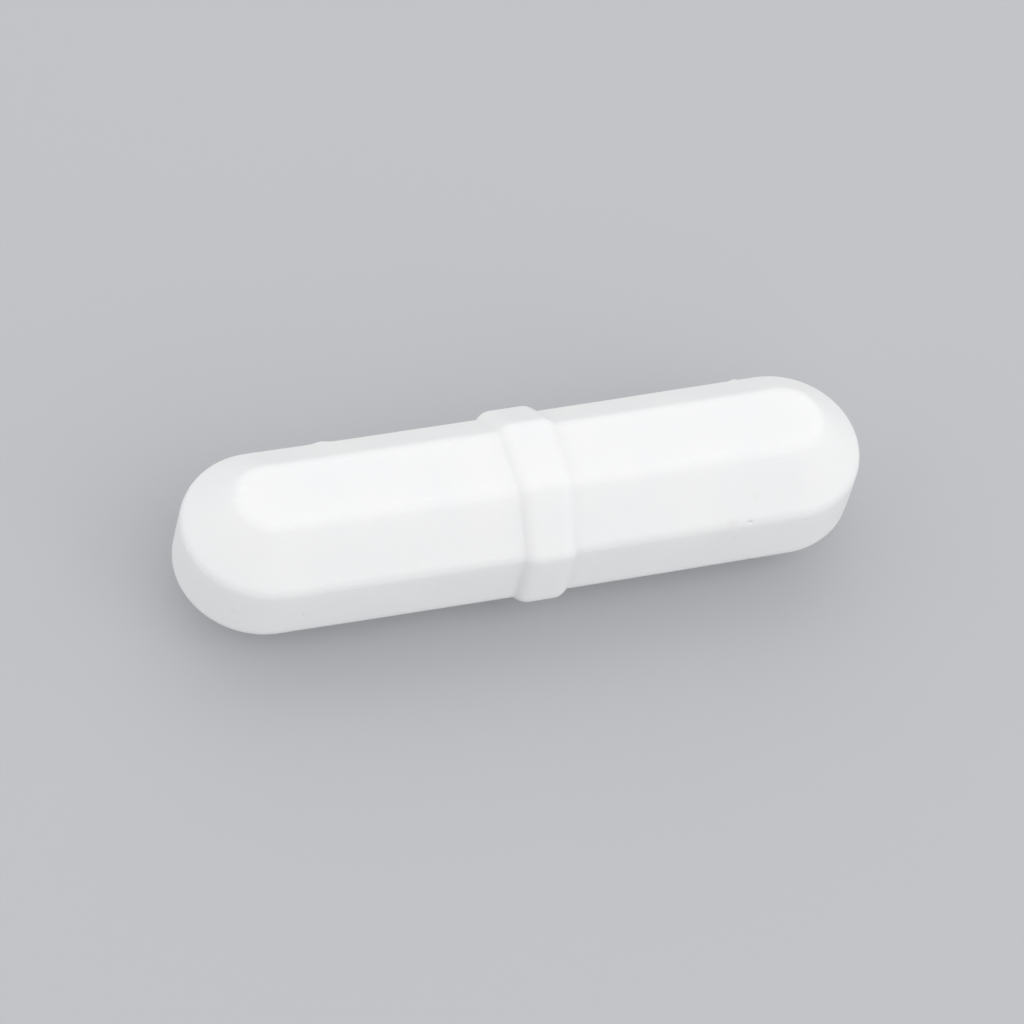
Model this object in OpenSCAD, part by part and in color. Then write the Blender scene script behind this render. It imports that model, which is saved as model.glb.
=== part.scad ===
// Eight-sided magnetic stir bar with a moulded pivot ring.
//
// A rod magnet is sealed inside one PTFE moulding. The moulding is an octagonal bar with
// softened edges. Each end is half of the same octagonal section turned about an upright
// axis, and a low ring of the same section stands out near the middle, so that the bar
// spins on the narrow land of the ring and not on its whole length.
//
// The bar lies along X. It stands on the lowest flat of the ring, at Z = 0, with the
// origin below the middle of its length. All sizes are in millimetres.

/* [Bar] */
// Overall length, tip to tip
bar_length = 38; // [24:0.5:60]
// Width of the body across opposite flats
bar_flats = 9.2; // [8:0.1:12]
// Radius of the body's long edges
edge_r = 1.0; // [0.4:0.1:1.5]

/* [Pivot ring] */
// How far the ring stands out from the flats
ring_height = 0.35; // [0.2:0.05:0.8]
// Width of the flat land along the ring's crest
ring_land = 1.4; // [0.8:0.1:3]
// Radius from the land down the ring's shoulders
shoulder_r = 1.1; // [0.8:0.05:1.6]
// How far the ring sits from mid-length, towards +X
ring_shift = 0.25; // [-1:0.05:1]

/* [Magnet] */
// PTFE between the magnet's pocket and the flats
side_wall = 1.55; // [1.2:0.05:2]
// PTFE between the magnet's pocket and each tip
end_wall = 3.95; // [3:0.05:6]
// Space left round the magnet inside its pocket
magnet_gap = 0.05; // [0.02:0.01:0.1]
// Size of the 45 degree edge break on the magnet's ends
magnet_break = 0.3; // [0.1:0.05:0.6]

/* [Hidden] */

$fn = 96;

// The body's section, measured out from the bar's axis. Each rounded edge has its centre a
// little further out than a tangent arc would, so that the arc crosses both flats cleanly.
flat_step = 45;
half_flats = bar_flats / 2;
edge_lift = 0.002;
edge_out = half_flats - edge_r + edge_lift;
edge_side = edge_out * tan(flat_step / 2);

// The stretch between the two upright axes that the ends turn about.
straight = bar_length - bar_flats;

// The ring's section, measured out from the bar's axis.
ring_reach = half_flats + ring_height;

// Longer than any reach from the axis, for shapes that are cut back later.
beyond = 2 * ring_reach;

// The pocket, and the magnet that lies in it.
pocket_d = bar_flats - 2 * side_wall;
pocket_length = bar_length - 2 * end_wall;
magnet_d = pocket_d - 2 * magnet_gap;
magnet_length = pocket_length - 2 * magnet_gap;

// Lays a shape that was made standing on Z down along X, at the height of the bar's axis.
module lay_down() {
    translate([0, 0, ring_reach]) rotate([0, 90, 0]) children();
}

// Repeats a shape for each of the eight flats, which face out from the axis.
module each_flat() {
    for (i = [0 : 7]) rotate([0, 0, i * flat_step]) children();
}

// Repeats a shape at the centre of each of the eight rounded edges.
module each_edge() {
    for (i = [0 : 3], side = [-1, 1])
        rotate([0, 0, i * 90]) translate([edge_out, side * edge_side, 0]) children();
}

// Profile of the straight stretch: x runs out from the bar's axis, y along the bar.
module long_profile() {
    translate([0, -straight / 2]) square([half_flats, straight]);
    translate([0, ring_shift - ring_land / 2]) square([ring_reach, ring_land]);
    for (side = [-1, 1])
        translate([ring_reach - shoulder_r, ring_shift + side * ring_land / 2]) circle(r = shoulder_r);
}

// The straight stretch with its eight flats meeting in sharp edges.
module sharp_stretch() {
    intersection_for(i = [0 : 3])
        rotate([90, 0, i * flat_step])
            linear_extrude(height = beyond, center = true) {
                long_profile();
                mirror([1, 0]) long_profile();
            }
}

// What the rounded edges leave of the straight stretch: a block under each flat, and
// between two blocks the profile turned about the centre of the rounding.
module edge_envelope() {
    each_flat() translate([0, -edge_side, -straight / 2]) cube([beyond, 2 * edge_side, straight]);
    each_edge()
        rotate_extrude()
            intersection() {
                translate([edge_r - half_flats, 0]) long_profile();
                translate([0, -straight / 2]) square([beyond, straight]);
            }
}

// The bar between its two ends, with the ring on it.
module straight_stretch() {
    intersection() {
        sharp_stretch();
        edge_envelope();
    }
}

// The body's octagonal section with its rounded edges, centred on the bar's axis.
module body_section() {
    intersection() {
        intersection_for(i = [0 : 3]) rotate(i * flat_step) square([bar_flats, beyond], center = true);
        union() {
            each_flat() translate([0, -edge_side]) square([beyond, 2 * edge_side]);
            each_edge() circle(r = edge_r);
        }
    }
}

// One end: half of the section turned about an upright axis.
module round_end() {
    rotate([0, 0, -90])
        rotate_extrude(angle = 180)
            intersection() {
                body_section();
                translate([0, -half_flats]) square([half_flats, bar_flats]);
            }
}

// A round bar with broken edges, standing on Z and centred on the origin.
module broken_rod(d, length, edge_break) {
    rotate_extrude()
        polygon([
            [0, -length / 2],
            [d / 2 - edge_break, -length / 2],
            [d / 2, -length / 2 + edge_break],
            [d / 2, length / 2 - edge_break],
            [d / 2 - edge_break, length / 2],
            [0, length / 2]
        ]);
}

module ptfe_jacket() {
    color([0.95, 0.95, 0.94])
        difference() {
            union() {
                lay_down() straight_stretch();
                translate([straight / 2, 0, ring_reach]) round_end();
                translate([-straight / 2, 0, ring_reach]) rotate([0, 0, 180]) round_end();
            }
            lay_down() broken_rod(pocket_d, pocket_length, magnet_break);
        }
}

module magnet_rod() {
    color([0.32, 0.32, 0.34]) lay_down() broken_rod(magnet_d, magnet_length, magnet_break);
}

ptfe_jacket();
magnet_rod();
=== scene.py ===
# %% [markdown]
# # A magnetic stir bar
#
# A stir bar is a rod magnet sealed in PTFE, a white plastic that almost nothing sticks to. It
# lies at the bottom of a beaker, and a magnet that turns under the beaker makes it spin. This
# one is an octagonal bar with round ends and a low ring near the middle of its length. It
# spins on the narrow land of the ring, and not on its whole length.
#
# A CAD model already holds the exact solids. This lesson loads them as a fixed frame. It
# then makes the jacket again as one dense mesh, with the softness and the small faults of
# sintered plastic, gives the jacket and the magnet their finishes, and sets up a plain studio.

# %% Load the CAD model
import math

import bmesh
import bpy
from mathutils import Matrix, Vector, noise


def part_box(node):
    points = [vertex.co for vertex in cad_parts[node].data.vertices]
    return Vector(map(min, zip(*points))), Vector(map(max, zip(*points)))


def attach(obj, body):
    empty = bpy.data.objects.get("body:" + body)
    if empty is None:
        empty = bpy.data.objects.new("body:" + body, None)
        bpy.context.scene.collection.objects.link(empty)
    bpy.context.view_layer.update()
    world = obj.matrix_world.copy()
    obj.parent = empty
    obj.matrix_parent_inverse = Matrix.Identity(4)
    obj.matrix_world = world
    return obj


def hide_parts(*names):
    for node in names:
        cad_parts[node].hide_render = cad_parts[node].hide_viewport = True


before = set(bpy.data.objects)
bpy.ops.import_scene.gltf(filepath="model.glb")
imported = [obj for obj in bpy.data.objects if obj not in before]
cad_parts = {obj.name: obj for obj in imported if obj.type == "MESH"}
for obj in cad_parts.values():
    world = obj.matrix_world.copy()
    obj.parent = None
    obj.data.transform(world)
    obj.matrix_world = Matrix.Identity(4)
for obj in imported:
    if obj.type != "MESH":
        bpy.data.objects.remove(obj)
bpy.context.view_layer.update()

print("CAD nodes:", sorted(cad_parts))

# %% [markdown]
# ## Sizes
#
# Blender counts in metres, and a stir bar is small. Sizes are therefore written in
# millimetres and multiplied by MM where they are defined. They could all be typed in. Here,
# what the CAD model knows is measured from it instead, so that the mesh fits the model even
# if the model is made again in another size. The few values that a box can't tell, such as
# the height of the ring or the radius of an edge, are named where they are first needed.

# %% Sizes of the jacket
MM = 0.001
RING_RISE = 0.35 * MM        # how far the ring stands out from the flats

jacket_low, jacket_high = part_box("ptfe_jacket")
magnet_low, magnet_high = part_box("magnet_rod")

AXIS_HEIGHT = (jacket_low.z + jacket_high.z) / 2
HALF_FLATS = (jacket_high.z - jacket_low.z) / 2 - RING_RISE
END_AXIS = jacket_high.x - HALF_FLATS     # where the upright axis of a round end stands

print(f"bar {2 * jacket_high.x / MM:.1f} mm long, {2 * HALF_FLATS / MM:.1f} mm across flats")

# %% [markdown]
# ## The section of the bar
#
# Cut across, the bar is an octagon with rounded edges. Half of that outline is enough: it
# starts in the middle of the bottom flat, climbs one side and ends in the middle of the top
# flat. The straight stretch uses it twice, once mirrored, and a round end turns it about
# an upright axis, so all three share the same points and the skin closes without a seam.
#
# Every point also keeps the direction it faces. The ring has nearly the same section, moved
# out by its height, and it comes from moving each point along its own direction.
#
# A box with bevelled edges would come close with less work. But the radius of its edges
# would then depend on a modifier, and the ring and the ends couldn't share its points.

# %% Flats and edges of the octagon
SIDES = 8
SIDE_DEGREES = 360 / SIDES
EDGE_RADIUS = 1.0 * MM       # the body's long edges
FLAT_STEPS = 20              # faces across a flat
EDGE_STEPS = 8               # faces round an edge

edge_centre_out = HALF_FLATS - EDGE_RADIUS
flat_half_width = edge_centre_out * math.tan(math.radians(SIDE_DEGREES / 2))


def flat_points(facing, first, last):
    """Points across one flat, from share first to share last of its half width."""
    out = Vector((0, math.cos(facing), math.sin(facing)))
    across = Vector((0, -math.sin(facing), math.cos(facing)))
    steps = FLAT_STEPS * (last - first) // 2
    points = []
    for step in range(steps + 1):
        share = first + (last - first) * step / steps
        points.append((out * HALF_FLATS + across * flat_half_width * share, out))
    return points


def edge_points(facing):
    """Points round the edge that follows the flat, without the two that the flats share."""
    out = Vector((0, math.cos(facing), math.sin(facing)))
    across = Vector((0, -math.sin(facing), math.cos(facing)))
    centre = out * edge_centre_out + across * flat_half_width
    points = []
    for step in range(1, EDGE_STEPS):
        turn = facing + math.radians(SIDE_DEGREES) * step / EDGE_STEPS
        way = Vector((0, math.cos(turn), math.sin(turn)))
        points.append((centre + way * EDGE_RADIUS, way))
    return points


print(f"a flat is {2 * flat_half_width / MM:.2f} mm wide between its rounded edges")

# %% [markdown]
# ## The crown of the flats
#
# A flat is not quite flat. PTFE is pressed as a powder and then sintered, and it draws back a
# little from the long edges as it cools, so that each flat is crowned by about a hundredth of
# a millimetre. It hardly shows in outline, but it bends the light. A subdivision surface
# would bulge too, but by an amount that nobody chose. A cosine that comes back at each of the
# eight edges gives the wanted depth and no kink.

# %% Half of the octagon
CROWN = 0.012 * MM           # how far the edges lie behind the middles of the flats


def edge_share(way):
    """How near this direction from the bar's axis is to an edge: 0 in mid-flat, 1 at an edge."""
    return (1 - math.cos(SIDES * math.atan2(way.z, way.y))) / 2


def crowned(point, way):
    """A point of the section drawn in, by nothing in mid-flat and by CROWN at an edge."""
    return point - way * CROWN * edge_share(point), way


sharp_section = []
for number in range(5):
    facing = math.radians(-90 + SIDE_DEGREES * number)
    sharp_section += flat_points(facing, 0 if number == 0 else -1, 0 if number == 4 else 1)
    if number < 4:
        sharp_section += edge_points(facing)

half_section = [crowned(point, way) for point, way in sharp_section]
HALF = len(half_section) - 1     # number of the point in the middle of the top flat
mirror = Matrix.Diagonal((1, -1, 1))
other_half = [(mirror @ point, mirror @ way) for point, way in half_section[HALF - 1:0:-1]]
whole_section = half_section + other_half
print("points round the section:", len(whole_section))

# %% [markdown]
# ## The ring's profile
#
# Seen along the bar, the ring rises from the flats through a small hollow foot, climbs a
# round shoulder and levels out on its land. It could be a separate hoop pushed over the bar,
# or a step with its corners bevelled. The real ring is one moulding with the body, though,
# and a line must not show where they meet. Each part of its profile is an arc or a line, so
# the height at any place along the bar is a short formula, and one skin can follow it.

# %% Height of the ring along the bar
RING_LAND = 1.4 * MM         # width of the flat land along the ring's crest
RING_PLACE = 0.25 * MM       # how far the ring sits from mid-length, towards +X
SHOULDER_RADIUS = 1.1 * MM   # from the land down the ring's shoulders
FOOT_RADIUS = 0.15 * MM      # hollow rounding where a shoulder meets the flats

shoulder_drop = SHOULDER_RADIUS - RING_RISE
centres_apart = SHOULDER_RADIUS + FOOT_RADIUS
foot_run = math.sqrt(centres_apart ** 2 - (shoulder_drop + FOOT_RADIUS) ** 2)
shoulder_end = foot_run * SHOULDER_RADIUS / centres_apart


def ring_height(x):
    """How far the surface stands out from the flats at this place along the bar."""
    past_land = abs(x - RING_PLACE) - RING_LAND / 2
    if past_land <= 0:
        return RING_RISE
    if past_land <= shoulder_end:
        return math.sqrt(SHOULDER_RADIUS ** 2 - past_land ** 2) - shoulder_drop
    if past_land <= foot_run:
        return FOOT_RADIUS - math.sqrt(FOOT_RADIUS ** 2 - (foot_run - past_land) ** 2)
    return 0.0


ring_half_width = RING_LAND / 2 + foot_run
print(f"the ring is {2 * ring_half_width / MM:.2f} mm wide at its feet")

# %% [markdown]
# ## An uneven ring
#
# A moulded ring is seldom even. This one is wider at the back than at the front, and a
# little fuller at the long edges than on the flats. The difference is a tenth or two of a
# millimetre, but it shows in the outline. Pulling points about by hand would do it once. Here
# a small function gives each point its shift along the bar instead. It grows across the land,
# is full at both shoulders, and fades out over the body beside the ring, so that no row is
# squeezed.

# %% How the ring departs from its profile
RING_EDGE_RISE = 0.12                      # share by which it stands out further at an edge
LEFT_SPREAD = (-0.21 * MM, 0.0)            # shift of its left shoulder, at back and front
RIGHT_SPREAD = (0.13 * MM, -0.10 * MM)     # shift of its right shoulder, at back and front
SPREAD_FADE = 4 * MM                       # length of the body beside it that follows


def spread_at(x, point):
    """How far a point of the ring, or of the body beside it, is moved along the bar."""
    off = x - RING_PLACE
    if abs(off) <= ring_half_width:
        share = min(1, abs(off) / (RING_LAND / 2))
    else:
        share = max(0, 1 - (abs(off) - ring_half_width) / SPREAD_FADE)
    back_share = (1 + math.cos(math.atan2(point.z, point.y))) / 2
    at_back, at_front = RIGHT_SPREAD if off > 0 else LEFT_SPREAD
    return share * (at_back * back_share + at_front * (1 - back_share))


back_width = 2 * ring_half_width + RIGHT_SPREAD[0] - LEFT_SPREAD[0]
front_width = 2 * ring_half_width + RIGHT_SPREAD[1] - LEFT_SPREAD[1]
print(f"its feet: {back_width / MM:.2f} mm apart at the back, {front_width / MM:.2f} mm at the front")

# %% [markdown]
# ## The outer skin
#
# The skin is the whole visible surface of the jacket. It could be joined from a bar, a ring
# and two turned ends, but joining meshes leaves long thin faces along the seams, and they
# show on a smooth white surface. The skin is built in mesh code instead, a row of points at a
# time, so that each row sits exactly where the formulas say. Rows stand close together over
# the ring, where the surface turns, and further apart elsewhere.

# %% Rows of the straight stretch
ROW_GAP = 0.10 * MM          # between two rows of the plain body
RING_ROW_GAP = 0.045 * MM    # between two rows of the ring

skin = bmesh.new()


def places_between(start, end, gap):
    """Places along the bar from start up to end, evenly spaced and about gap apart."""
    count = max(1, round((end - start) / gap))
    return [start + (end - start) * step / count for step in range(count)]


def section_row(x):
    """A closed row of points round the bar."""
    rise = ring_height(x)
    row = []
    for point, way in whole_section:
        middle = Vector((x + spread_at(x, point), 0, AXIS_HEIGHT))
        sharper = 1 + RING_EDGE_RISE * edge_share(way)
        row.append(skin.verts.new(middle + point + way * rise * sharper))
    return row


def join_rows(first, second):
    """Fills the band between two rows of the same length."""
    for step in range(len(first) - 1):
        corners = [first[step], first[step + 1], second[step + 1], second[step]]
        corners = list(dict.fromkeys(corners))
        skin.faces.new(corners)


ring_start, ring_end = RING_PLACE - ring_half_width, RING_PLACE + ring_half_width
places = places_between(-END_AXIS, ring_start, ROW_GAP)
places += places_between(ring_start, ring_end, RING_ROW_GAP)
places += places_between(ring_end, END_AXIS, ROW_GAP) + [END_AXIS]

rows = [section_row(x) for x in places]
for left, right in zip(rows, rows[1:]):
    join_rows(left + left[:1], right + right[:1])
print("rows along the straight stretch:", len(rows))

# %% [markdown]
# ## The round ends
#
# Each end of the bar is the half section turned about an upright axis, so that it is round
# from above and has the bar's own chamfers from the side. Blender's spin tool turns a section
# too, but it makes points of its own, and they would have to be welded to the straight
# stretch afterwards. This fan starts and ends on the points of the last row and meets in two
# poles, in the middle of the top and bottom flats, so there is nothing to weld.

# %% The two round ends
END_TURNS = 72               # faces round an end, from its back to its front


def round_end(row, side):
    """Turns half of the section about the upright axis at the end of the straight stretch."""
    bottom, top = row[0], row[HALF]
    previous = row[:HALF + 1]
    for turn in range(1, END_TURNS):
        angle = math.pi * turn / END_TURNS
        around = Vector((side * math.sin(angle), math.cos(angle), 0))
        middle = Vector((side * END_AXIS, 0, AXIS_HEIGHT))
        climb = [
            skin.verts.new(middle + around * point.y + Vector((0, 0, point.z)))
            for point, _ in half_section[1:HALF]
        ]
        current = [bottom] + climb + [top]
        join_rows(previous, current)
        previous = current
    join_rows(previous, [bottom] + row[:HALF:-1] + [top])


round_end(rows[0], -1)
round_end(rows[-1], 1)
bmesh.ops.recalc_face_normals(skin, faces=skin.faces)
print("outer skin:", len(skin.verts), "points,", len(skin.faces), "faces")

# %% [markdown]
# ## Small faults of the moulding
#
# Nothing that is pressed from powder and handled in a laboratory is perfect. The bar has
# bowed by a tenth of a millimetre as it cooled, and its ends stand back a little. A slow wave
# of about a hundredth of a millimetre runs over the whole skin. A few marks have places of
# their own: a nick and two pits on the front, and two small nibs of flash on the upper back
# edge. The nick and one pit have pushed up a low lip above or below them.
#
# All this could be sculpted, or faked by bump in the finish. But a sculpted mesh can't be made
# again from numbers, and bump doesn't reach the outline. So each mark is a point on the skin
# with a spread and a depth, and the points near it move in, or out where the depth is
# negative. They are pushed along their normals, and the skin stays closed.

# %% Marks in the shape of the jacket
# Each has its middle, how far it spreads along the bar and across it, and its depth, all in
# millimetres.
MARKS = [
    ((11.42, -4.50, 6.86), 0.20, 0.10, 0.08),      # the nick
    ((11.42, -4.59, 6.66), 0.22, 0.08, -0.03),     # its lip
    ((14.71, -4.59, 6.34), 0.10, 0.10, 0.05),      # the pit near the right end
    ((14.67, -4.56, 6.54), 0.10, 0.08, -0.02),     # its lip
    ((-13.34, -4.58, 4.77), 0.10, 0.10, 0.04),     # the pit near the left end
    ((-10.20, 4.46, 6.96), 0.40, 0.18, -0.09),     # the long nib of flash
    ((13.20, 4.43, 7.00), 0.17, 0.15, -0.07),      # the short nib of flash
]
MARK_REACH = 3               # in spreads; further away a mark moves nothing


def mark_depth(place):
    """How far the marks near this place push it in."""
    depth = 0.0
    for centre, along, across, deep in MARKS:
        off = place / MM - Vector(centre)
        spread = (off.x / along) ** 2 + (off.y ** 2 + off.z ** 2) / across ** 2
        if spread < MARK_REACH ** 2:
            depth += deep * MM * math.exp(-spread)
    return depth


print("marks in the shape:", len(MARKS))

# %% Bow and waves, and all of it put on the skin
BOW = 0.10 * MM              # how far the tips stand behind the middle
WAVE_DEPTH = 0.014 * MM      # from the crest of a wave to its hollow
WAVE_LENGTH = 4.5 * MM


def bow_at(place):
    """How far the bow carries this place towards the back."""
    return Vector((0, BOW * (place.x / jacket_high.x) ** 2, 0))


def wave_depth(place):
    """How far the slow waves sink the skin here, never less than nothing."""
    return WAVE_DEPTH * (0.5 + 0.5 * noise.noise(place / WAVE_LENGTH))


skin.normal_update()
moves = []
for point in skin.verts:
    push = wave_depth(point.co) + mark_depth(point.co)
    moves.append((point, bow_at(point.co) - point.normal * push))
for point, move in moves:
    point.co += move
print(f"furthest move of a point: {max(move.length for _, move in moves) / MM:.3f} mm")

# %% [markdown]
# ## The pocket
#
# The jacket is hollow, and the magnet fills it. The pocket can't be seen from outside, but
# a jacket cut in half has to show a real wall. A boolean could cut it out, but it would only
# do in a roundabout way what four rows of points do directly: a round bar with broken ends, a
# little larger all round than the magnet. Its surface goes into the same mesh as a second
# closed shell, which faces inwards.

# %% The pocket's surface
POCKET_GAP = 0.05 * MM       # space round the magnet
POCKET_BREAK = 0.3 * MM      # slope that breaks each end's edge
POCKET_SIDES = 64

pocket_radius = (magnet_high.y - magnet_low.y) / 2 + POCKET_GAP
pocket_end = magnet_high.x + POCKET_GAP


def pocket_row(x, radius):
    """A circle of points round the bar's axis."""
    row = []
    for side in range(POCKET_SIDES):
        angle = 2 * math.pi * side / POCKET_SIDES
        way = Vector((0, math.cos(angle), math.sin(angle)))
        row.append(skin.verts.new(Vector((x, 0, AXIS_HEIGHT)) + way * radius))
    return row


pocket_rows = [
    pocket_row(-pocket_end, pocket_radius - POCKET_BREAK),
    pocket_row(-pocket_end + POCKET_BREAK, pocket_radius),
    pocket_row(pocket_end - POCKET_BREAK, pocket_radius),
    pocket_row(pocket_end, pocket_radius - POCKET_BREAK),
]
outer_faces = len(skin.faces)
for left, right in zip(pocket_rows, pocket_rows[1:]):
    join_rows(right + right[:1], left + left[:1])
skin.faces.new(pocket_rows[0])
skin.faces.new(pocket_rows[-1][::-1])
print("pocket:", len(skin.faces) - outer_faces, "faces")

# %% [markdown]
# ## From points to a piece
#
# The mesh becomes an object, which rides on the CAD model's only body and stands for the
# CAD jacket. Smooth shading suits the skin, because its edges are real roundings. Weighted
# normals or marked edges are for corners that are sharper than their faces, and there are
# none here.

# %% The jacket as an object
jacket_mesh = bpy.data.meshes.new("moulded_jacket")
skin.to_mesh(jacket_mesh)
skin.free()
jacket_mesh.polygons.foreach_set("use_smooth", [True] * len(jacket_mesh.polygons))

jacket = bpy.data.objects.new("moulded_jacket", jacket_mesh)
bpy.context.scene.collection.objects.link(jacket)
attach(jacket, "root")
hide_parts("ptfe_jacket")
triangles = sum(len(face.vertices) - 2 for face in jacket_mesh.polygons)
print("moulded_jacket:", triangles, "triangles")

# %% [markdown]
# ## Writing finishes as sums
#
# A finish is a small program: take a place on the surface, work out a few masks, and mix
# colours and roughness by them. Blender draws such a program as boxes and wires, which could
# be laid by hand or one call at a time. Two small classes let it be written as Python sums
# instead, which are shorter and can be read aloud. Wire holds one output, and adding,
# subtracting or multiplying it lays down the Math node that does so. Finish holds the
# material, and its one node method makes any other box.

# %% Wires


class Wire:
    """The output of a node, with arithmetic."""

    def __init__(self, finish, socket):
        self.finish = finish
        self.socket = socket

    def __add__(self, other):
        return self.finish.math("ADD", self, other)

    def __radd__(self, other):
        return self.finish.math("ADD", other, self)

    def __sub__(self, other):
        return self.finish.math("SUBTRACT", self, other)

    def __rsub__(self, other):
        return self.finish.math("SUBTRACT", other, self)

    def __mul__(self, other):
        return self.finish.math("MULTIPLY", self, other)

    def __rmul__(self, other):
        return self.finish.math("MULTIPLY", other, self)

    def __gt__(self, other):
        return self.finish.math("GREATER_THAN", self, other)

    def out(self, name):
        """Another output of the same node."""
        return Wire(self.finish, self.socket.node.outputs[name])


print("a wire can do:", "+ - * >")

# %% Finishes
MIX_SHARE, MIX_FIRST, MIX_SECOND, MIX_COLOUR = 0, 6, 7, 2    # sockets of a Mix node for colours


class Finish:
    """A material, and the nodes that make it."""

    def __init__(self, name):
        self.material = bpy.data.materials.new(name)
        self.material.use_nodes = True
        self.tree = self.material.node_tree
        self.tree.nodes.clear()

    def node(self, kind, settings=None, inputs=None, output=0):
        """Lays down a node. Settings come first, because some of them change the sockets."""
        made = self.tree.nodes.new("ShaderNode" + kind)
        for name, value in (settings or {}).items():
            if name == "stops":
                self.set_stops(made.color_ramp, value)
            else:
                setattr(made, name, value)
        for name, value in (inputs or {}).items():
            if isinstance(value, Wire):
                self.tree.links.new(value.socket, made.inputs[name])
            else:
                made.inputs[name].default_value = value
        return Wire(self, made.outputs[output])

    def set_stops(self, ramp, stops):
        """Gives a colour ramp its stops, each a place and a level of grey."""
        while len(ramp.elements) < len(stops):
            ramp.elements.new(0.5)
        for element, (place, level) in zip(ramp.elements, stops):
            element.position = place
            element.color = (level, level, level, 1)

    def math(self, operation, *values):
        """Works out one operation on numbers or wires."""
        return self.node("Math", {"operation": operation}, dict(enumerate(values)))

    def vector_math(self, operation, first, second, output=0):
        """Works out one operation on places or vectors."""
        return self.node("VectorMath", {"operation": operation}, {0: first, 1: second}, output)

    def place_in_mm(self, stretch=(1, 1, 1)):
        """The place on the object in millimetres, squeezed by stretch along each axis."""
        place = self.node("TexCoord", output="Object")
        return self.vector_math("MULTIPLY", place, [part / MM for part in stretch])

    def clouds(self, place, scale, detail=2.0):
        """Soft noise from 0 to 1, with its features about 1 / scale millimetres apart."""
        return self.node("TexNoise", None, {"Vector": place, "Scale": scale, "Detail": detail})

    def ramp(self, value, *stops):
        """A level that follows value between the stops."""
        return self.node("ValToRGB", {"stops": stops}, {"Fac": value})

    def blend(self, share, first, second):
        """A colour between two others."""
        colours = {MIX_SHARE: share, MIX_FIRST: first, MIX_SECOND: second}
        return self.node("Mix", {"data_type": "RGBA"}, colours, MIX_COLOUR)

    def shade(self, **inputs):
        """Closes the program with a Principled shader and gives the material."""
        named = {name.replace("_", " "): value for name, value in inputs.items()}
        shader = self.node("BsdfPrincipled", None, named)
        end = self.tree.nodes.new("ShaderNodeOutputMaterial")
        self.tree.links.new(shader.socket, end.inputs["Surface"])
        return self.material


print("finish tools ready")

# %% [markdown]
# ## Sintered PTFE
#
# PTFE is a bright, slightly cool white with a waxy sheen. Light enters it and comes out
# again about a millimetre away, which softens every edge; the shader's subsurface part
# does that. Its colour drifts very slightly from place to place. The powder leaves a
# fine grain, the press leaves faint lines along the bar, and a few dark specks are sealed in.
#
# Use leaves the rest. The long edges are scuffed to a lighter white. The hollow at the ring's
# left foot gets a painted shade, patchy grey and most of it low down, and its right foot a
# little of it. A few smudges and dots have places of their own.
#
# All of it could be painted on an image, but the skin would have to be unwrapped, and the
# image would blur from close by. Masks that are worked out from the place on the bar stay
# sharp at any distance. The next cells make one mask each, and the last one mixes them.

# %% Colours of the jacket, and its marks
PTFE_COOL = (0.882, 0.886, 0.892, 1)
PTFE_PLAIN = (0.902, 0.90, 0.896, 1)
# Grey of the specks and dark marks, also used for the painted shade at the ring's foot.
SPECK_AND_SHADE_GREY = (0.30, 0.29, 0.27, 1)
SMUDGE_OLIVE = (0.60, 0.58, 0.36, 1)
SCUFF_WHITE = (0.95, 0.95, 0.947, 1)

# Each mark has its middle, how far it spreads along the bar and across it, all in
# millimetres, and how strongly it shows.
DARK_MARKS = [
    ((11.84, -3.54, 7.86), 0.12, 0.20, 0.04),
    ((11.43, -4.39, 6.84), 0.15, 0.05, 0.28),      # inside the nick
    ((14.71, -4.49, 6.34), 0.06, 0.05, 0.28),      # inside the pit near the right end
    ((-13.34, -4.52, 4.77), 0.05, 0.05, 0.26),     # inside the pit near the left end
    ((-16.93, -3.75, 4.94), 0.22, 0.25, 0.04),
    ((10.72, -4.55, 5.56), 0.12, 0.14, 0.05),
    ((9.84, -4.56, 5.80), 0.24, 0.10, 0.03),
]
OLIVE_MARKS = [
    ((10.44, -4.42, 6.91), 0.28, 0.28, 0.10),
]
LIGHT_MARKS = [
    ((11.44, -4.46, 6.74), 0.14, 0.05, 0.80),      # the nick's lip
    ((14.67, -4.50, 6.49), 0.06, 0.06, 0.90),      # the right pit's lip
]
print("marks in the colour:", len(DARK_MARKS + OLIVE_MARKS + LIGHT_MARKS))

# %% Soft dots at the marks
DOT_REACH = 2.0                      # in spreads, as far as a dot's ramp reads
DOT_STOPS = (0.2, 1), (0.8, 0)       # full in its heart, gone at its rim


def mark_mask(finish, place, marks):
    """Soft dots at the marks, each with its own spread and strength."""
    total = 0
    for centre, along, across, strength in marks:
        scale = (1 / along, 1 / across, 1 / across)
        near = finish.vector_math("MULTIPLY", place, scale)
        heart = [part * size for part, size in zip(centre, scale)]
        away = finish.vector_math("DISTANCE", near, heart, "Value")
        total = total + strength * finish.ramp(away * (1 / DOT_REACH), *DOT_STOPS)
    return total


print("a dot is full within", DOT_STOPS[0][0] * DOT_REACH, "of its spread")

# %% Specks sealed in the plastic
CELLS_PER_MM = 0.8                   # space is cut into cells, each with room for one speck
SPECK_STOPS = (0.03, 1), (0.06, 0)   # a speck's heart and rim, as shares of a cell
SPECK_CHANCE = 0.025                 # share of the cells that hold one


def speck_mask(ptfe, place):
    """Small dots scattered evenly, the same ones at every run."""
    cells = ptfe.node("TexVoronoi", None, {"Vector": place, "Scale": CELLS_PER_MM}, "Distance")
    draw = ptfe.node("SeparateColor", None, {"Color": cells.out("Color")}, "Red")
    return ptfe.ramp(cells, *SPECK_STOPS) * (draw > 1 - SPECK_CHANCE)


print(f"about one speck in {1 / (SPECK_CHANCE * CELLS_PER_MM ** 3):.0f} cubic millimetres")
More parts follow.
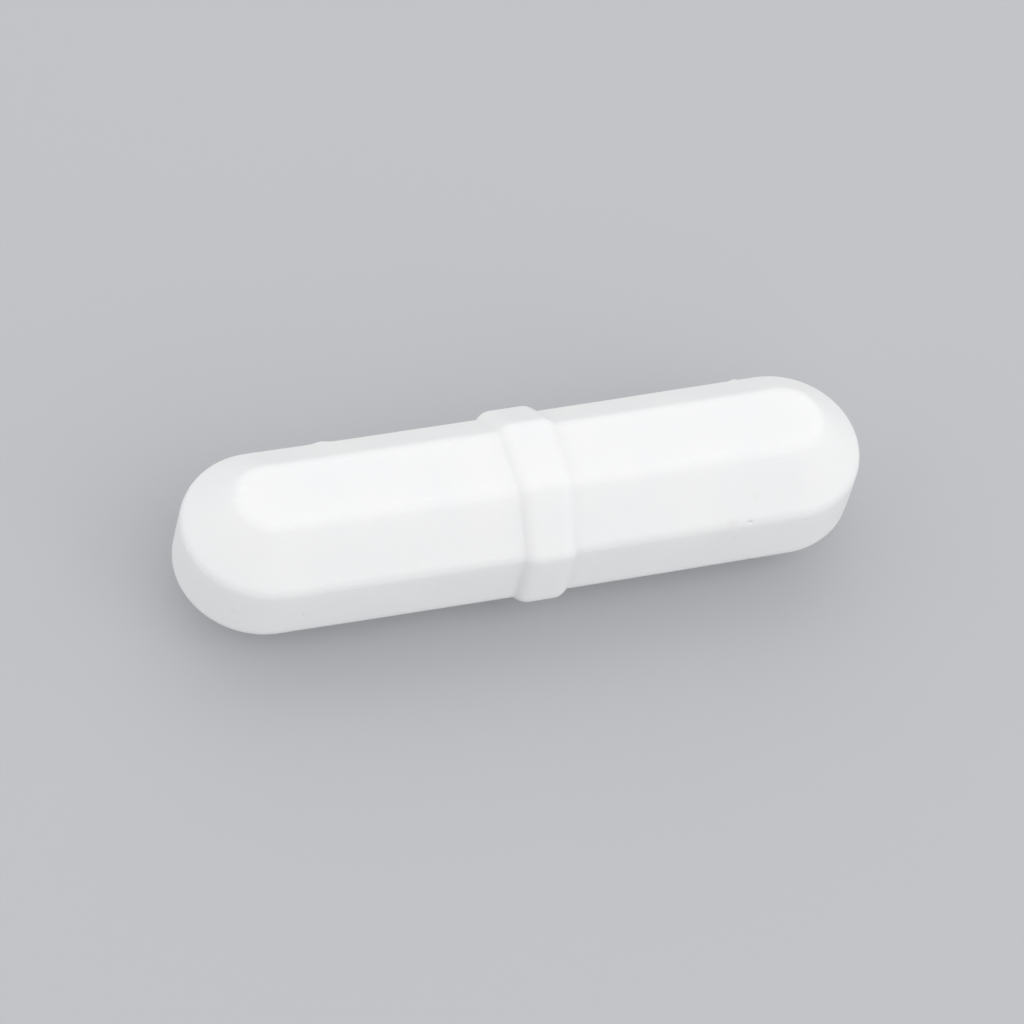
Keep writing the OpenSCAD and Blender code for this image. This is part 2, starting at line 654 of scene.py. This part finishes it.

# %% Painted shade at the ring's feet
FOOT_SPAN = 2.0                      # mm from the ring's middle, as far as its ramp reads
FOOT_BAND = (0.50, 0), (0.70, 1), (0.80, 1), (0.92, 0)
RIGHT_FOOT_SHARE = 0.15              # the right foot gets only a little of the painted shade
HEIGHT_SPAN = 10.0                   # mm from the ground
LOW_BAND = (0.35, 1), (0.78, 0.1)    # painted shade strongest low down
PAINTED_SHADE_EVEN, PAINTED_SHADE_PATCHY = 0.4, 0.8    # how much of the painted shade is even, and how much in patches


def foot_painted_shade_mask(ptfe, along, up, swell):
    """Patchy painted shade in the hollows where the ring meets the body, darker towards the bottom.
    """
    past_ring = along - RING_PLACE / MM
    left_foot = ptfe.ramp(past_ring * (-1 / FOOT_SPAN), *FOOT_BAND)
    right_foot = ptfe.ramp(past_ring * (1 / FOOT_SPAN), *FOOT_BAND)
    low = ptfe.ramp(up * (1 / HEIGHT_SPAN), *LOW_BAND)
    feet = left_foot + RIGHT_FOOT_SHARE * right_foot
    return feet * low * (PAINTED_SHADE_EVEN + PAINTED_SHADE_PATCHY * swell)


# The span printed is where the painted shade lies.
print(f"dirt from {FOOT_BAND[0][0] * FOOT_SPAN} to {FOOT_BAND[-1][0] * FOOT_SPAN} mm from the middle")

# %% Scuffs along the long edges
SCUFF_EDGE = (0.72, 0), (0.95, 1)    # how near an edge they begin and are full
SCUFF_PATCHES = (0.58, 0), (0.66, 1)
SCUFF_STRETCH = (1.5, 4.5, 4.5)      # patches are three times as long as they are wide


def scuff_mask(ptfe, along, across, up):
    """Patches along the edges, also round the ends, where an edge turns with the bar."""
    past_end = ptfe.math("MAXIMUM", ptfe.math("ABSOLUTE", along) - END_AXIS / MM, 0.0)
    outward = ptfe.math("SQRT", past_end * past_end + across * across)
    around = ptfe.math("ARCTAN2", up - AXIS_HEIGHT / MM, outward)
    near_edge = 0.5 - 0.5 * ptfe.math("COSINE", SIDES * around)
    patches = ptfe.clouds(ptfe.place_in_mm(SCUFF_STRETCH), 1.0, detail=4.0)
    return ptfe.ramp(near_edge, *SCUFF_EDGE) * ptfe.ramp(patches, *SCUFF_PATCHES)


print("scuffs follow", SIDES, "edges")

# %% How fine everything is on the jacket, and how strongly it shows
DRIFT_SCALE, SWELL_SCALE, GRAIN_SCALE = 0.22, 1.1, 9.0      # clouds to a millimetre
LINE_STRETCH = (0.12, 5.0, 5.0)                 # long along the bar, and fine across it
DRIFT_BAND = (0.35, 0), (0.65, 1)
# The middle value is the strength of the painted shade at the ring's foot.
SCUFF_TINT, PAINTED_SHADE_TINT, SPECK_TINT = 0.3, 0.13, 0.25
SHEEN = 0.33                                    # roughness of the smoothest places
SHEEN_DRIFT, SHEEN_GRAIN = 0.10, 0.08           # and what the drift and the grain add
SWELL_HEIGHT, GRAIN_HEIGHT = 0.012, 0.0025      # heights of the fine relief, in millimetres
LINE_HEIGHT, SCUFF_HEIGHT = 0.003, 0.005
PTFE_IOR = 1.35
LIGHT_SHARE = 0.5                               # share of the light that enters the plastic
LIGHT_DEPTH = 1.2 * MM                          # how far it spreads there
LIGHT_TINT = (1.0, 0.95, 0.9)                   # red goes a little further than blue

print("fine relief up to", SWELL_HEIGHT, "mm")

# %% The PTFE finish


def ptfe_colour(ptfe, place, drift, masks):
    """The white with everything on it, the strongest marks last."""
    scuffs, foot_painted_shade, specks = masks
    colour = ptfe.blend(drift, PTFE_COOL, PTFE_PLAIN)
    colour = ptfe.blend(scuffs * SCUFF_TINT, colour, SCUFF_WHITE)
    # Painted shade: grey laid into the hollow at the ring's foot, where shade falls.
    colour = ptfe.blend(foot_painted_shade * PAINTED_SHADE_TINT, colour, SPECK_AND_SHADE_GREY)
    colour = ptfe.blend(specks * SPECK_TINT, colour, SPECK_AND_SHADE_GREY)
    colour = ptfe.blend(mark_mask(ptfe, place, OLIVE_MARKS), colour, SMUDGE_OLIVE)
    colour = ptfe.blend(mark_mask(ptfe, place, LIGHT_MARKS), colour, SCUFF_WHITE)
    return ptfe.blend(mark_mask(ptfe, place, DARK_MARKS), colour, SPECK_AND_SHADE_GREY)


def make_ptfe():
    """The finish of the jacket."""
    ptfe = Finish("sintered_ptfe")
    place = ptfe.place_in_mm()
    along = ptfe.node("SeparateXYZ", None, {0: place}, "X")
    across, up = along.out("Y"), along.out("Z")
    drift = ptfe.ramp(ptfe.clouds(place, DRIFT_SCALE), *DRIFT_BAND)
    swell = ptfe.clouds(place, SWELL_SCALE)
    grain = ptfe.clouds(place, GRAIN_SCALE, detail=3.0)
    press_lines = ptfe.clouds(ptfe.place_in_mm(LINE_STRETCH), 1.0)
    scuffs = scuff_mask(ptfe, along, across, up)
    # The mask of the painted shade at the ring's feet.
    foot_painted_shade = foot_painted_shade_mask(ptfe, along, up, swell)
    colour = ptfe_colour(ptfe, place, drift, (scuffs, foot_painted_shade, speck_mask(ptfe, place)))
    roughness = SHEEN + SHEEN_DRIFT * drift + SHEEN_GRAIN * grain
    height = SWELL_HEIGHT * swell + GRAIN_HEIGHT * grain
    height = height + LINE_HEIGHT * press_lines + SCUFF_HEIGHT * scuffs
    normal = ptfe.node("Bump", None, {"Height": height, "Distance": 1 * MM})
    return ptfe.shade(
        Base_Color=colour,
        Roughness=roughness,
        Normal=normal,
        IOR=PTFE_IOR,
        Subsurface_Weight=LIGHT_SHARE,
        Subsurface_Radius=LIGHT_TINT,
        Subsurface_Scale=LIGHT_DEPTH,
    )


jacket_mesh.materials.append(make_ptfe())
print("jacket:", jacket_mesh.materials[0].name)

# %% [markdown]
# ## Cast magnet alloy
#
# The magnet is cast from an aluminium-nickel-cobalt alloy and ground round. It is dark and
# hard, with fine grinding lines that run round it, and its ends keep the rough grey skin
# and the pores of the casting. Anisotropic gloss is the usual way to show grinding, but it
# only smears the highlight and draws no lines. Lines that run round a bar change only along
# it, so noise that is squeezed hard along X and stretched across draws them as they are. The
# magnet keeps its CAD mesh, which is already right, and gets a finish.

# %% Colours and reliefs of the magnet
ALLOY_GROUND = (0.24, 0.24, 0.25, 1)
ALLOY_DULL = (0.15, 0.148, 0.15, 1)
ALLOY_PORE = (0.05, 0.048, 0.046, 1)
MAGNET_BREAK = 0.3                   # mm, slope that breaks the edge of each end
GRIND_STRETCH = (9.0, 0.3, 0.3)      # fine along the rod, and long round it
BLOTCH_SCALE, PORE_SCALE = 0.6, 3.5  # clouds to a millimetre
PORE_BAND = (0.27, 1), (0.36, 0)
METAL = 0.9
GROUND_SHEEN, LINE_SHEEN, RAW_SHEEN = 0.30, 0.15, 0.35
LINE_RELIEF, RAW_RELIEF, PORE_RELIEF = 0.004, 0.03, 0.02     # in millimetres

print("magnet:", round((magnet_high.x - magnet_low.x) / MM, 1), "mm long")

# %% The magnet's finish


def make_magnet_alloy():
    """The finish of the magnet, ground round its side and raw at its ends."""
    alloy = Finish("cast_magnet_alloy")
    place = alloy.place_in_mm()
    along = alloy.node("SeparateXYZ", None, {0: place}, "X")
    half_length = magnet_high.x / MM
    end_band = (1 - MAGNET_BREAK / half_length, 0), (1, 1)
    raw_end = alloy.ramp(alloy.math("ABSOLUTE", along) * (1 / half_length), *end_band)
    lines = alloy.clouds(alloy.place_in_mm(GRIND_STRETCH), 1.0, detail=4.0)
    blotches = alloy.clouds(place, BLOTCH_SCALE, detail=4.0)
    pores = alloy.ramp(alloy.clouds(place, PORE_SCALE, detail=3.0), *PORE_BAND)

    colour = alloy.blend(blotches, ALLOY_GROUND, ALLOY_DULL)
    colour = alloy.blend(raw_end, colour, ALLOY_DULL)
    colour = alloy.blend(pores, colour, ALLOY_PORE)
    roughness = GROUND_SHEEN + LINE_SHEEN * lines + RAW_SHEEN * raw_end
    height = LINE_RELIEF * lines * (1 - raw_end)
    height = height + RAW_RELIEF * blotches * raw_end - PORE_RELIEF * pores
    normal = alloy.node("Bump", None, {"Height": height, "Distance": 1 * MM})
    return alloy.shade(Base_Color=colour, Roughness=roughness, Metallic=METAL, Normal=normal)


magnet_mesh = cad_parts["magnet_rod"].data
magnet_mesh.materials.clear()
magnet_mesh.materials.append(make_magnet_alloy())
print("magnet:", magnet_mesh.materials[0].name)

# %% [markdown]
# ## The floor
#
# The bar lies on a plain sheet of card, a pale grey that lets white plastic stand out and
# throws some light back under it. A plane with an edge in view would distract, and a curved
# backdrop is only needed where the camera looks at the horizon. A wide disc is enough, with
# a finish so faintly clouded that it doesn't look computed.

# %% Floor
FLOOR_RADIUS = 3.0
FLOOR_SEGMENTS = 96
FLOOR_GREY = (0.51, 0.52, 0.54, 1)
FLOOR_SHADE = (0.45, 0.455, 0.47, 1)
SHADE_SHARE, SHADE_SCALE = 0.1, 0.02     # of the shade in the clouds, and clouds to a millimetre
CARD_ROUGHNESS = 0.85


def make_floor():
    """A round card under the bar. It is not attached to the bar's body, so it isn't part of the
    object.
    """
    disc = bmesh.new()
    bmesh.ops.create_circle(disc, cap_ends=True, segments=FLOOR_SEGMENTS, radius=FLOOR_RADIUS)
    mesh = bpy.data.meshes.new("floor")
    disc.to_mesh(mesh)
    disc.free()
    card = Finish("floor_card")
    clouded = SHADE_SHARE * card.clouds(card.place_in_mm(), SHADE_SCALE)
    colour = card.blend(clouded, FLOOR_GREY, FLOOR_SHADE)
    mesh.materials.append(card.shade(Base_Color=colour, Roughness=CARD_ROUGHNESS))
    floor = bpy.data.objects.new("floor", mesh)
    bpy.context.scene.collection.objects.link(floor)
    return floor


print("floor:", make_floor().dimensions.x, "m across")

# %% [markdown]
# ## A plain studio
#
# White plastic shows its shape only by soft differences of light. One strong lamp would draw
# hard shadows and burn the nearest face out. The studio is built like a light tent instead:
# an even glow comes from everywhere, and four large weak lamps stand all round the bar. The
# front and back ones stand higher, so that the upper flats are a little brighter than the
# upright ones and the eight sides can be told apart. The lamps are kept down so that the
# brightest face stays just below pure white.

# %% Lamps
BAR_MIDDLE = Vector((0, 0, AXIS_HEIGHT))
LAMP_DISTANCE = 0.50

# Azimuth and elevation in degrees, width in metres and power in watts. Azimuth 0 is the
# front, and 90 the right.
LAMPS = {
    "front": (15, 48, 0.60, 0.82),
    "back": (170, 45, 0.60, 0.70),
    "left": (-100, 15, 0.90, 1.57),
    "right": (70, 15, 0.90, 1.25),
}


def soft_lamp(name, azimuth, elevation, width, watts):
    """A square lamp that faces the bar."""
    around, up = math.radians(azimuth), math.radians(elevation)
    level = math.cos(up)
    way = Vector((math.sin(around) * level, -math.cos(around) * level, math.sin(up)))
    data = bpy.data.lights.new(name, "AREA")
    data.shape = "SQUARE"
    data.size = width
    data.energy = watts
    lamp = bpy.data.objects.new(name, data)
    lamp.location = BAR_MIDDLE + way * LAMP_DISTANCE
    lamp.rotation_mode = "QUATERNION"
    lamp.rotation_quaternion = way.to_track_quat("Z", "Y")
    bpy.context.scene.collection.objects.link(lamp)


for name, setting in LAMPS.items():
    soft_lamp(name, *setting)

# %% The even glow
GLOW_COLOUR = (0.99, 0.995, 1.0, 1)
GLOW_STRENGTH = 0.555

world = bpy.data.worlds.new("studio")
world.use_nodes = True
glow = world.node_tree.nodes["Background"]
glow.inputs["Color"].default_value = GLOW_COLOUR
glow.inputs["Strength"].default_value = GLOW_STRENGTH
bpy.context.scene.world = world
print("glow:", GLOW_STRENGTH)

# %% [markdown]
# ## The camera
#
# The bar is seen from its front left and from well above, through a long lens that hardly
# shows any perspective, with the camera tipped a little to one side. A Track To constraint
# would aim the camera, but it would also set it level again. The camera's place is written
# as three angles and a distance from the middle of the bar instead, and a very small shift
# of the lens brings the bar to its place in the picture.

# %% Camera
PICTURE = 1024                                      # pixels along each side
AZIMUTH, ELEVATION, ROLL = -29.65, 55.07, 16.22     # degrees
DISTANCE = 376.3 * MM
LENS, SENSOR = 246.9, 36                            # in real millimetres, as on a real camera
NEAREST, FURTHEST = 0.01, 20                        # metres
MIDDLE_AT = (519.2, 504.6)                          # pixels, where the bar's middle shows

turned = (
    Matrix.Rotation(math.radians(AZIMUTH), 4, "Z")
    @ Matrix.Rotation(math.radians(90 - ELEVATION), 4, "X")
    @ Matrix.Rotation(math.radians(ROLL), 4, "Z")
)
camera_data = bpy.data.cameras.new("camera")
camera_data.lens = LENS
camera_data.sensor_width = SENSOR
camera_data.clip_start = NEAREST
camera_data.clip_end = FURTHEST
camera_data.shift_x = (PICTURE / 2 - MIDDLE_AT[0]) / PICTURE
camera_data.shift_y = (MIDDLE_AT[1] - PICTURE / 2) / PICTURE
camera = bpy.data.objects.new("camera", camera_data)
backed_off = Matrix.Translation((0, 0, DISTANCE))
camera.matrix_world = Matrix.Translation(BAR_MIDDLE) @ turned @ backed_off
bpy.context.scene.collection.objects.link(camera)
bpy.context.scene.camera = camera
bpy.context.scene.view_settings.view_transform = "Standard"
print("camera at", [round(part / MM) for part in camera.location], "mm")
